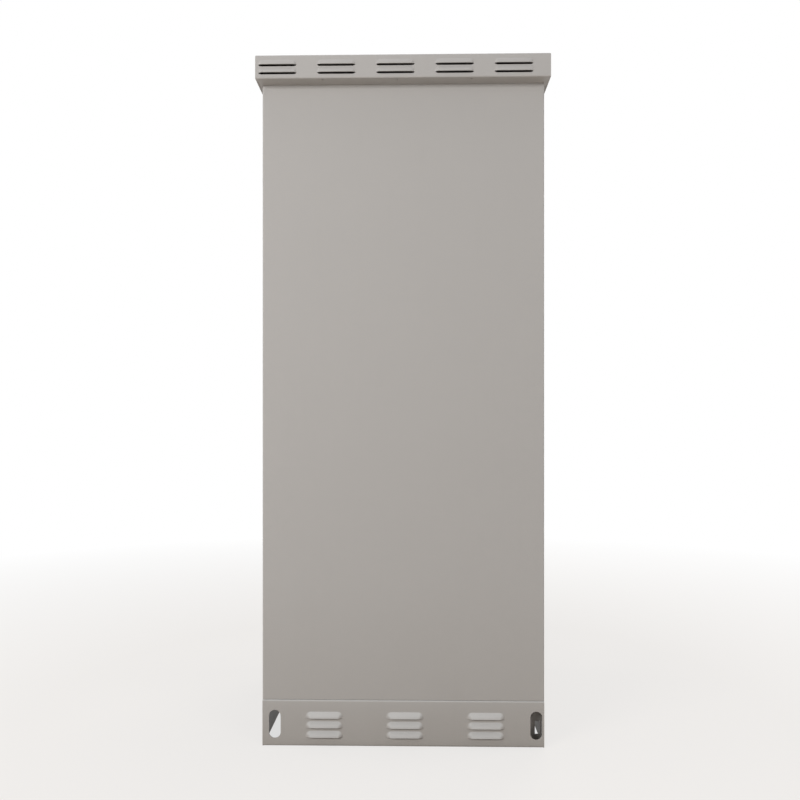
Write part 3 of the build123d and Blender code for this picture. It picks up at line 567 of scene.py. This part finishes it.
class LouvreField:
    """Columns of pressed louvres in their patches of sheet, ready to be let into a flat face."""

    def __init__(self, name, groups, rows, pitch, step, low, shift, length, height, depth, end, gap):
        margin, below, above = 0.001, 0.7 * (step - height), 0.3 * (step - height)
        patch = louvre_patch(name, length, height, depth, end, margin, below, above, gap)
        self.mesh = in_rows(patch, groups, rows, pitch, step, "painted_sheet")
        bpy.data.objects.remove(patch)
        self.mesh.transform(Matrix.Translation((shift, low + (rows - 1) * step / 2, 0.0)))
        centres = [shift + (k - (groups - 1) / 2) * pitch for k in range(groups)]
        reach = length / 2 + margin
        self.sides = [centre + way * reach for centre in centres for way in (-1, 1)]
        self.levels = [low - below, low + rows * step - below]

    def let_in(self, work):
        """Adds the field to a mesh and gives back the edges round its columns."""
        before = set(work.edges)
        work.from_mesh(self.mesh)
        return [e for e in work.edges if e not in before and e.is_boundary and self.on_rim(e)]

    def on_rim(self, edge):
        places = [(vertex.co.x, vertex.co.y) for vertex in edge.verts]
        for values, axis in ((self.sides, 0), (self.levels, 1)):
            if any(all(abs(place[axis] - value) < 0.0001 for place in places) for value in values):
                return True
        return False


def upright_place(x_axis, out, distance):
    """Matrix that stands a panel up: its X along, its Y to +Z and its Z outwards."""
    place = Matrix.Identity(4)
    for column, axis in enumerate((x_axis, (0, 0, 1), out, tuple(distance * part for part in out))):
        for row in range(3):
            place[row][column] = axis[row]
    return place


REAR_PLACE = ((1, 0, 0), (0, -1, 0))
FRONT_PLACE = ((-1, 0, 0), (0, 1, 0))


def bend_arc(level, way, bend=BEND):
    """Y and Z of a bend that turns back from a face, up or down from a level."""
    angles = [math.pi / 2 * k / BEND_STEPS for k in range(BEND_STEPS + 1)]
    return [(level + way * bend * math.sin(a), bend * (math.cos(a) - 1)) for a in angles]


def sheet_mesh(work, name, thickness, place):
    """Thickened sheet: the drawn faces are its outside, and the metal lies behind them."""
    bmesh.ops.remove_doubles(work, verts=work.verts, dist=WELD)
    bmesh.ops.recalc_face_normals(work, faces=work.faces)
    widest = max(work.faces, key=lambda face: abs(face.normal.z) * face.calc_area())
    if widest.normal.z < 0:
        bmesh.ops.reverse_faces(work, faces=work.faces)
    mesh = bpy.data.meshes.new(name)
    work.to_mesh(mesh)
    work.free()
    thing = temporary(name, mesh)
    wall = thing.modifiers.new("wall", "SOLIDIFY")
    wall.thickness = thickness
    wall.offset = -1.0
    wall.use_even_offset = True
    solid = finished_mesh(thing)
    solid.transform(place)
    return smoothed(solid)


plinth_field = LouvreField(
    "plinth_louvre",
    groups=3,
    rows=3,
    pitch=0.172,
    step=0.0203,
    low=0.0203,
    shift=0.004,
    length=0.080,
    height=0.0127,
    depth=0.0065,
    end=0.011,
    gap=0.0008,
)


def plinth_panel(side_name, side_place, ledge):
    """A louvred plinth panel: a web between two bends, with a bored foot below and a ledge above."""
    work = bmesh.new()
    rim = plinth_field.let_in(work)
    across = [-HALF_WIDTH, -FLANGE_HALF, FLANGE_HALF, HALF_WIDTH]
    rows = {}
    for level, way, depth in ((0.0, -1, PLINTH_FOOT), (PLINTH_TOP, 1, ledge)):
        arc = bend_arc(level - way * PLINTH_BEND, way, PLINTH_BEND)
        rows[way] = [[work.verts.new((x, y, z)) for x in across] for y, z in arc]
        span(work, rows[way])
        end = rows[way][-1][1:3]
        tip = [work.verts.new((vertex.co.x, level, -depth)) for vertex in end]
        edges = chain_edges(work, [*end, tip[1], tip[0], end[0]])
        if way < 0:
            for x in (-ANCHOR_SIDE, ANCHOR_SIDE):
                ring = circle_points((x, -ANCHOR_INSET), ANCHOR_RADIUS, 20)
                edges += loop_edges(work, [(px, level, pz) for px, pz in ring])
        fill_between(work, edges, (0, way, 0))
    low, high = rows[-1][0], rows[1][0]
    rim += chain_edges(work, [*low, *reversed(high), low[0]])
    for x in (SLOT_LEFT, SLOT_RIGHT):
        rim += loop_edges(work, slot_points((x, SLOT_LEVEL), SLOT_WIDTH, SLOT_HEIGHT))
    fill_between(work, rim, (0, 0, 1))
    name = f"pressed_plinth_{side_name}"
    mesh = sheet_mesh(work, name, PLINTH_SHEET, upright_place(*side_place, HALF_DEPTH))
    as_piece(name, mesh, "cabinet", "painted_sheet", f"plinth_{side_name}")


plinth_panel("rear", REAR_PLACE, REAR_LEDGE)
plinth_panel("front", FRONT_PLACE, FRONT_LEDGE)


def roof_corner_rings(work):
    """Rings of the roof's top bends, mitred at the four corners."""
    rings = []
    for k in range(BEND_STEPS + 1):
        angle = math.pi / 2 * k / BEND_STEPS
        inset, z = BEND * (1 - math.cos(angle)), ROOF_TOP - BEND * (1 - math.sin(angle))
        x, y = ROOF_HALF_X - inset, ROOF_HALF_Y - inset
        rings.append([work.verts.new(c) for c in ((-x, -y, z), (x, -y, z), (x, y, z), (-x, y, z))])
    for low, high in zip(rings, rings[1:]):
        for k in range(4):
            work.faces.new((low[k], low[(k + 1) % 4], high[(k + 1) % 4], high[k]))
    work.faces.new(rings[-1])
    return rings[0]


def roof_panel():
    """The roof cap: one folded box with louvred skirts front and rear, and flanges under them."""
    field = LouvreField(
        "roof_louvre",
        groups=5,
        rows=2,
        pitch=0.1232,
        step=0.0166,
        low=0.0122,
        shift=-0.015,
        length=0.080,
        height=0.010,
        depth=0.0035,
        end=0.007,
        gap=0.0036,
    )
    work = bmesh.new()
    top = roof_corner_rings(work)
    ends = {}
    for way, out_place, corners in (
        (-1, REAR_PLACE, (top[0], top[1])),
        (1, FRONT_PLACE, (top[2], top[3])),
    ):
        skirt = bmesh.new()
        rim = field.let_in(skirt)
        x = ROOF_HALF_X
        rows = [
            [skirt.verts.new((side * x, y, z)) for side in (-1, 1)] for y, z in bend_arc(BEND, -1)
        ]
        span(skirt, rows)
        tip = [skirt.verts.new((side * x, 0.0, -ROOF_FLANGE)) for side in (-1, 1)]
        edges = chain_edges(skirt, [*rows[-1], tip[1], tip[0], rows[-1][0]])
        if way < 0:
            for k in (-1, 0, 1):
                spot = (DRAIN_CENTRE + k * DRAIN_PITCH, -DRAIN_INSET)
                ring = circle_points(spot, DRAIN_RADIUS, 14)
                edges += loop_edges(skirt, [(a, 0.0, b) for a, b in ring])
        fill_between(skirt, edges, (0, -1, 0))
        high = [skirt.verts.new((side * x, ROOF_TOP - BEND - ROOF_LOW, 0.0)) for side in (-1, 1)]
        rim += chain_edges(skirt, [*rows[0], high[1], high[0], rows[0][0]])
        fill_between(skirt, rim, (0, 0, 1))
        bmesh.ops.transform(
            skirt,
            matrix=Matrix.Translation((0, 0, ROOF_LOW)) @ upright_place(*out_place, ROOF_HALF_Y),
            verts=skirt.verts,
        )
        part = bpy.data.meshes.new("skirt")
        skirt.to_mesh(part)
        skirt.free()
        work.from_mesh(part)
    bmesh.ops.remove_doubles(work, verts=work.verts, dist=WELD)
    for way in (-1, 1):
        border = [v for v in work.verts if abs(v.co.x - way * ROOF_HALF_X) < 0.00002]
        outline = sorted(border, key=lambda v: math.atan2(v.co.z - (ROOF_LOW + 0.02), v.co.y))
        work.faces.new(outline)
    bmesh.ops.recalc_face_normals(work, faces=work.faces)
    mesh = sheet_mesh(work, "pressed_roof", ROOF_SHEET, Matrix.Identity(4))
    as_piece("pressed_roof_cap", mesh, "cabinet", "painted_sheet", "roof_cap")


roof_panel()

for node_name, edge_width, edge_steps in (
    ("lever", 0.0022, 3),
    ("handle_base", 0.0012, 3),
    ("spindle", 0.0006, 2),
    ("lock_cylinder", 0.0005, 2),
    ("lever_pin", 0.0004, 1),
    ("base_screws", 0.0004, 1),
    ("hinge_body_leaves", 0.0005, 2),
    ("hinge_door_leaves", 0.0005, 2),
    ("hinge_pins", 0.0005, 2),
    ("door_gasket", 0.0015, 3),
    ("rod_guides", 0.0010, 2),
    ("lock_cam", 0.0006, 2),
    ("upper_rod", 0.0005, 2),
    ("lower_rod", 0.0005, 2),
    ("fan_frames", 0.0010, 2),
    ("fan_impeller_left", 0.0005, 2),
    ("fan_impeller_right", 0.0005, 2),
    ("floor_bolts", 0.0005, 2),
    ("cable_glands", 0.0009, 2),
    ("filter_cover", 0.0004, 1),
    ("earth_posts", 0.0010, 2),
    ("earth_bar", 0.0005, 2),
    ("document_pocket", 0.0010, 2),
    ("shelf", 0.0004, 1),
):
    softened(node_name, edge_width, edge_steps)


camera_data = bpy.data.cameras.new("camera")
camera = bpy.data.objects.new("camera", camera_data)
bpy.context.scene.collection.objects.link(camera)
camera_data.lens = CAMERA_LENS
camera_data.shift_y = CAMERA_SHIFT
camera.location = (CAMERA_SIDE, -HALF_DEPTH - CAMERA_AWAY, CAMERA_HEIGHT)
camera.rotation_euler = (math.radians(90), 0, CAMERA_TURN)
bpy.context.scene.camera = camera


# Stage and light


def stage_floor():
    """A floor that shows the cabinet's shadow near it and is plain white further away."""
    mesh = bpy.data.meshes.new("studio_floor")
    mesh.from_pydata([(-9, -9, 0), (9, -9, 0), (9, 9, 0), (-9, 9, 0)], [], [(0, 1, 2, 3)])
    floor = bpy.data.objects.new("studio_floor", mesh)
    bpy.context.scene.collection.objects.link(floor)
    paint = Finish("floor_paint", Roughness=0.9, Specular_IOR_Level=0.1)
    paint.set("Base Color", FLOOR_COLOUR)
    away = (paint.axis("X") ** 2.0 + paint.axis("Y") ** 2.0) ** 0.5
    share = 0.70 + 0.30 * away.above(0.9, 2.2)
    white = paint.node("ShaderNodeEmission", values={"Color": WHITE, "Strength": 1.0})
    mix = paint.node(
        "ShaderNodeMixShader",
        values={0: paint.seen() * share, 1: paint.shader.outputs[0], 2: white.outputs[0]},
    )
    paint.tree.links.new(mix.outputs[0], paint.tree.nodes["Material Output"].inputs[0])
    mesh.materials.append(paint.material)


def soft_light(name, place, target, size, power):
    """An area light that leaves no hot patch on coat that is seen at a flat angle."""
    data = bpy.data.lights.new(name, "AREA")
    data.shape = "RECTANGLE"
    data.size, data.size_y = size
    data.energy = power
    lamp = bpy.data.objects.new(name, data)
    bpy.context.scene.collection.objects.link(lamp)
    lamp.visible_glossy = False
    lamp.location = place
    lamp.rotation_euler = (Vector(target) - Vector(place)).to_track_quat("-Z", "Y").to_euler()


def studio_world(level):
    """A world that is white where it is seen and lights at one even level."""
    world = bpy.data.worlds.new("studio")
    bpy.context.scene.world = world
    world.use_nodes = True
    world.node_tree.nodes.clear()
    sky = Shading(world.node_tree)
    lit, shown = (
        sky.node("ShaderNodeBackground", values={"Color": WHITE, "Strength": strength}).outputs[0]
        for strength in (level, 1.0)
    )
    mix = sky.node("ShaderNodeMixShader", values={0: sky.seen(), 1: lit, 2: shown})
    sky.node("ShaderNodeOutputWorld", values={0: mix.outputs[0]})


stage_floor()
studio_world(WORLD_LEVEL)
for name, place, target, size, power in (
    ("key", (-1.9, -2.5, 1.5), (-0.1, -0.3, 1.35), (1.4, 0.7), 60.0),
    ("fill", (1.5, -2.3, 1.5), (0.1, -0.3, 1.4), (0.9, 0.6), 14.0),
    ("right", (3.4, 0.3, 1.7), (0.3, 0.0, 0.9), (1.8, 1.6), 40.0),
    ("left", (-3.4, 0.3, 1.7), (-0.3, 0.0, 0.9), (1.8, 1.6), 36.0),
    ("back", (1.4, 3.6, 2.6), (0.0, 0.0, 0.9), (2.4, 2.0), 76.0),
    ("top", (0.0, -0.2, 4.2), (0.0, 0.0, 0.0), (3.0, 3.0), 36.0),
):
    soft_light(name, place, target, size, power)
bpy.context.scene.view_settings.view_transform = "Standard"
